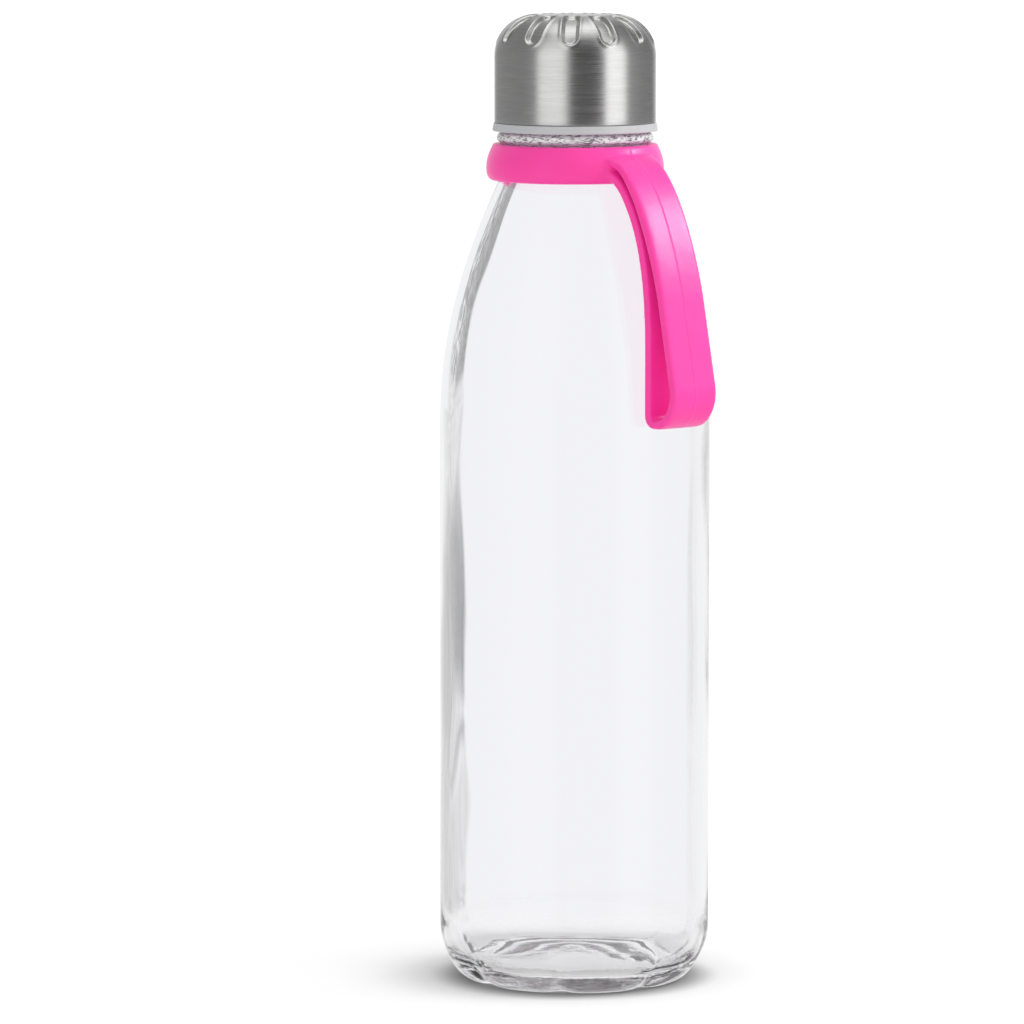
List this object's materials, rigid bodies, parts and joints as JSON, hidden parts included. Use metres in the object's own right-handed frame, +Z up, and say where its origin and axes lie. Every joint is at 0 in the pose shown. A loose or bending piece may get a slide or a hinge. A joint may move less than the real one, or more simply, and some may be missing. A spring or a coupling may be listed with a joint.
{
  "type": "glass water bottle",
  "caption": "Tall clear glass water bottle with a brushed steel screw cap and a soft collar with a carry loop round its neck.",
  "frame": {"origin": "On the bottle's axis, on the plane that the bottle stands on.", "axes": "+Z up along the bottle's axis. The carry loop hangs between +X and -Y, at 45 degrees to each."},
  "size_m": [0.0726, 0.0726, 0.2505],
  "materials": {
    "clear_glass": "clear, fire polished",
    "steel": "brushed round the axis",
    "liner_plastic": "translucent, satin",
    "seal_silicone": "translucent, satin",
    "strap_silicone": "soft satin, moulded"
  },
  "bodies": {
    "bottle": {"glass_bottle": "clear_glass"},
    "seal": {"cap_seal": "seal_silicone"},
    "cap": {"cap_shell": "steel", "cap_insert": "liner_plastic"},
    "collar": {"neck_ring": "strap_silicone"},
    "loop": {"carry_loop": "strap_silicone"}
  },
  "joints": [
    {"name": "cap_lift", "type": "slide", "parent": "bottle", "child": "seal", "axis": [0, 0, 1], "range_m": [0, 0.0064]},
    {"name": "cap_turn", "type": "hinge", "parent": "seal", "child": "cap", "pos_m": [0, 0, 0.2207], "axis": [0, 0, 1], "range_deg": [0, 540]},
    {"name": "collar_turn", "type": "hinge", "parent": "bottle", "child": "collar", "pos_m": [0, 0, 0.212], "axis": [0, 0, 1], "continuous": true},
    {"name": "loop_swing", "type": "hinge", "parent": "collar", "child": "loop", "pos_m": [0.01764, -0.01764, 0.212], "axis": [-0.7071, -0.7071, 0], "range_deg": [0, 140]}
  ],
  "couplings": [
    {"joint": "cap_lift", "follows": "cap_turn", "m_per_rad": 0.00066845}
  ]
}
